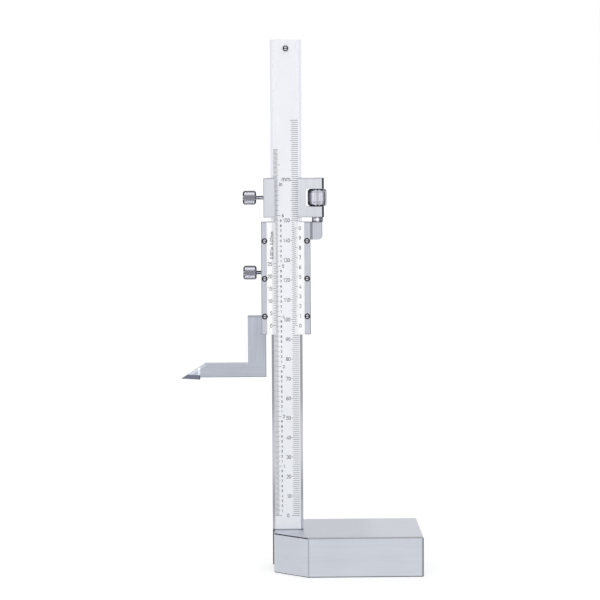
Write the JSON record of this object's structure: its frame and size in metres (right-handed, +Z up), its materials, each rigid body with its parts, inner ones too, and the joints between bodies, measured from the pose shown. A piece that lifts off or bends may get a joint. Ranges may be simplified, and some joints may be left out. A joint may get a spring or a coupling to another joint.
{
  "type": "height gauge",
  "caption": "Small vernier height gauge: upright graduated beam on a steel base, sliding head with carbide-tipped scriber, clamp screws and fine adjustment.",
  "frame": {"origin": "centre of the base's underside, on the surface that the gauge stands on", "axes": "+Z up along the beam; +X along the base, away from the scriber; -Y towards the reader of the scales"},
  "size_m": [0.1211, 0.05, 0.2673],
  "materials": {
    "base_steel": "ground, brushed lengthwise",
    "scale_satin": "satin chromed scale face with bright bevels",
    "plate_satin": "satin chromed",
    "head_steel": "ground satin",
    "arm_steel": "ground, upright grain",
    "carbide": "fine ground",
    "screw_steel": "dark turned",
    "stud_steel": "bright turned, threaded",
    "knurled_chrome": "knurled, plated",
    "gib_bronze": "plain strip"
  },
  "bodies": {
    "base": {"base_block": "base_steel", "beam": "scale_satin", "beam_screws": "screw_steel", "stop_screw": "screw_steel"},
    "carriage": {"carriage_frame": "head_steel"},
    "slider": {"slider_frame": "head_steel", "scriber_arm": "arm_steel", "carbide_tip": "carbide", "inch_vernier_plate": "plate_satin", "metric_vernier_plate": "plate_satin", "inch_plate_screws": "screw_steel", "metric_plate_screws": "screw_steel", "adjusting_rod": "stud_steel", "rod_lock_nut": "stud_steel"},
    "fine_nut": {"fine_adjust_nut": "knurled_chrome"},
    "slider_gib": {"slider_gib": "gib_bronze"},
    "slider_clamp": {"slider_clamp_stud": "stud_steel", "slider_clamp_knob": "knurled_chrome"},
    "carriage_gib": {"carriage_gib": "gib_bronze"},
    "carriage_clamp": {"carriage_clamp_stud": "stud_steel", "carriage_clamp_knob": "knurled_chrome"}
  },
  "joints": [
    {"name": "carriage_travel", "type": "slide", "parent": "base", "child": "carriage", "axis": [0, 0, 1], "range_m": [-0.0932, 0.0634]},
    {"name": "fine_feed", "type": "slide", "parent": "carriage", "child": "slider", "axis": [0, 0, 1], "range_m": [-0.004, 0]},
    {"name": "fine_nut_turn", "type": "hinge", "parent": "carriage", "child": "fine_nut", "pos_m": [-0.01445, 0, 0.1886], "axis": [0, 0, 1], "range_deg": [0, 2881]},
    {"name": "slider_gib_shift", "type": "slide", "parent": "slider", "child": "slider_gib", "axis": [-1, 0, 0], "range_m": [0, 0.0002]},
    {"name": "slider_clamp_turn", "type": "hinge", "parent": "slider_gib", "child": "slider_clamp", "pos_m": [-0.0485, 0, 0.1509], "axis": [-1, 0, 0], "range_deg": [0, 181]},
    {"name": "carriage_gib_shift", "type": "slide", "parent": "carriage", "child": "carriage_gib", "axis": [-1, 0, 0], "range_m": [0, 0.0002]},
    {"name": "carriage_clamp_turn", "type": "hinge", "parent": "carriage_gib", "child": "carriage_clamp", "pos_m": [-0.0485, 0, 0.1886], "axis": [-1, 0, 0], "range_deg": [0, 181]}
  ],
  "couplings": [
    {"joint": "fine_nut_turn", "follows": "fine_feed", "rad_per_m": -12566},
    {"joint": "slider_clamp_turn", "follows": "slider_gib_shift", "rad_per_m": 15708},
    {"joint": "carriage_clamp_turn", "follows": "carriage_gib_shift", "rad_per_m": 15708}
  ]
}
